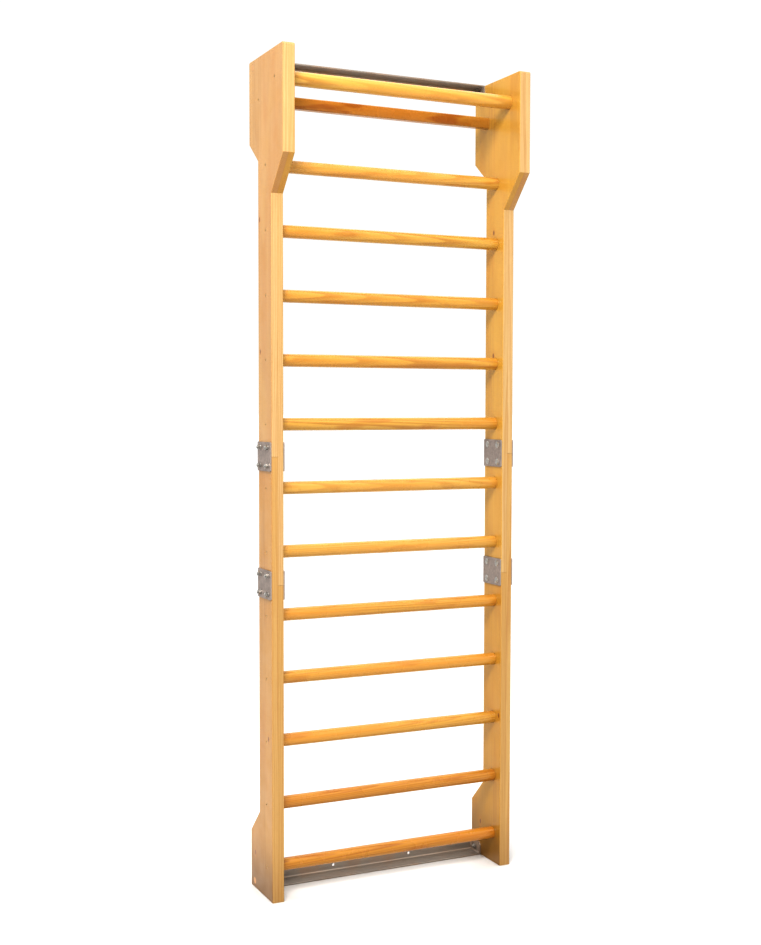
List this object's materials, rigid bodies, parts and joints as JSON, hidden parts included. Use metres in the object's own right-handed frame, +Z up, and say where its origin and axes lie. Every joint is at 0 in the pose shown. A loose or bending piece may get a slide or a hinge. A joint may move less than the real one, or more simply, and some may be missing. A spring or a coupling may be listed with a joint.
{
  "type": "gymnastic wall bars",
  "caption": "Wooden gymnastic wall bars: a tall ladder of round rungs between two spliced side boards, with a forward pull-up bar, a rear slat and steel wall rails.",
  "frame": {"origin": "on the floor, at mid width and mid depth of the whole object", "axes": "+X to the right seen from the front, +Y from the front towards the wall, +Z up"},
  "size_m": [0.824, 0.271, 2.44],
  "materials": {
    "side_board_wood": "clear satin varnish on laminated softwood",
    "rung_wood": "glossy honey varnish on turned hardwood",
    "pull_up_bar_wood": "glossy honey varnish on turned hardwood",
    "rear_slat_wood": "dark honey varnish",
    "plug_wood": "clear satin varnish on end grain",
    "splice_plate_steel": "galvanised, dull",
    "rail_steel": "dull rolled steel under clear lacquer",
    "screw_steel": "yellow zinc",
    "bolt_steel": "bright zinc"
  },
  "bodies": {
    "root": {"bottom_rail": "rail_steel", "front_pull_up_bar": "pull_up_bar_wood", "left_bar_screws": "screw_steel", "left_bottom_rail_tab": "rail_steel", "left_inner_lower_board": "side_board_wood", "left_inner_upper_board": "side_board_wood", "left_lower_splice_plate_inner": "splice_plate_steel", "left_lower_splice_plate_outer": "splice_plate_steel", "left_outer_lower_board": "side_board_wood", "left_outer_upper_board": "side_board_wood", "left_rail_bolt_plugs": "plug_wood", "left_rail_bolts": "bolt_steel", "left_rail_nuts": "bolt_steel", "left_rail_washers": "bolt_steel", "left_splice_bolts": "bolt_steel", "left_splice_nuts": "bolt_steel", "left_splice_washers": "bolt_steel", "left_top_rail_tab": "rail_steel", "left_upper_splice_plate_inner": "splice_plate_steel", "left_upper_splice_plate_outer": "splice_plate_steel", "rear_slat": "rear_slat_wood", "right_bar_screws": "screw_steel", "right_bottom_rail_tab": "rail_steel", "right_inner_lower_board": "side_board_wood", "right_inner_upper_board": "side_board_wood", "right_lower_splice_plate_inner": "splice_plate_steel", "right_lower_splice_plate_outer": "splice_plate_steel", "right_outer_lower_board": "side_board_wood", "right_outer_upper_board": "side_board_wood", "right_rail_bolt_plugs": "plug_wood", "right_rail_bolts": "bolt_steel", "right_rail_nuts": "bolt_steel", "right_rail_washers": "bolt_steel", "right_splice_bolts": "bolt_steel", "right_splice_nuts": "bolt_steel", "right_splice_washers": "bolt_steel", "right_top_rail_tab": "rail_steel", "right_upper_splice_plate_inner": "splice_plate_steel", "right_upper_splice_plate_outer": "splice_plate_steel", "rung_01": "rung_wood", "rung_02": "rung_wood", "rung_03": "rung_wood", "rung_04": "rung_wood", "rung_05": "rung_wood", "rung_06": "rung_wood", "rung_07": "rung_wood", "rung_08": "rung_wood", "rung_09": "rung_wood", "rung_10": "rung_wood", "rung_11": "rung_wood", "rung_12": "rung_wood", "top_rail": "rail_steel"}
  },
  "joints": []
}
